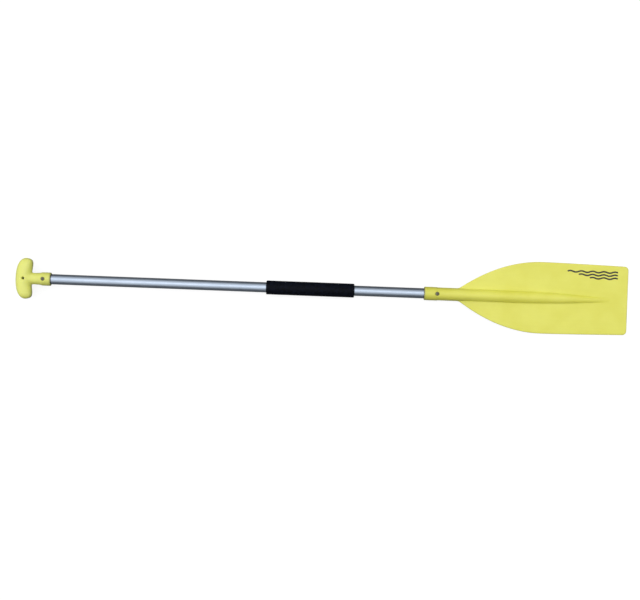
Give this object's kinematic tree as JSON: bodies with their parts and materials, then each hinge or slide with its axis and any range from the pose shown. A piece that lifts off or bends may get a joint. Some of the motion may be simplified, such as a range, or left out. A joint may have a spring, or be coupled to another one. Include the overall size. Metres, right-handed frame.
{
  "type": "rowing oar",
  "caption": "T-handled boat oar: aluminium tube shaft with a foam hand grip, riveted into a moulded T grip at one end and a flat ribbed plastic blade at the other.",
  "frame": {"origin": "at mid-length, straight under the shaft's axis, on the surface that the oar lies on (bottom centre of the bounding box)", "axes": "+X along the shaft from the T grip to the blade's tip, +Y across the blade, +Z out of the blade's printed front face"},
  "size_m": [1.524, 0.178, 0.035],
  "materials": {
    "yellow_moulding": "satin injection-moulded polypropylene",
    "tube_aluminium": "satin drawn and anodised",
    "black_foam": "matt closed-cell foam",
    "rivet_aluminium": "dull",
    "mandrel_steel": "plated",
    "plug_foam": "expanded foam",
    "black_ink": "pad-printed ink"
  },
  "bodies": {
    "root": {"t_grip": "yellow_moulding", "shaft_tube": "tube_aluminium", "foam_grip": "black_foam", "blade": "yellow_moulding", "grip_rivet": "rivet_aluminium", "grip_rivet_mandrel": "mandrel_steel", "blade_rivet": "rivet_aluminium", "blade_rivet_mandrel": "mandrel_steel", "upper_float_plug": "plug_foam", "lower_float_plug": "plug_foam", "blade_print": "black_ink"}
  },
  "joints": []
}
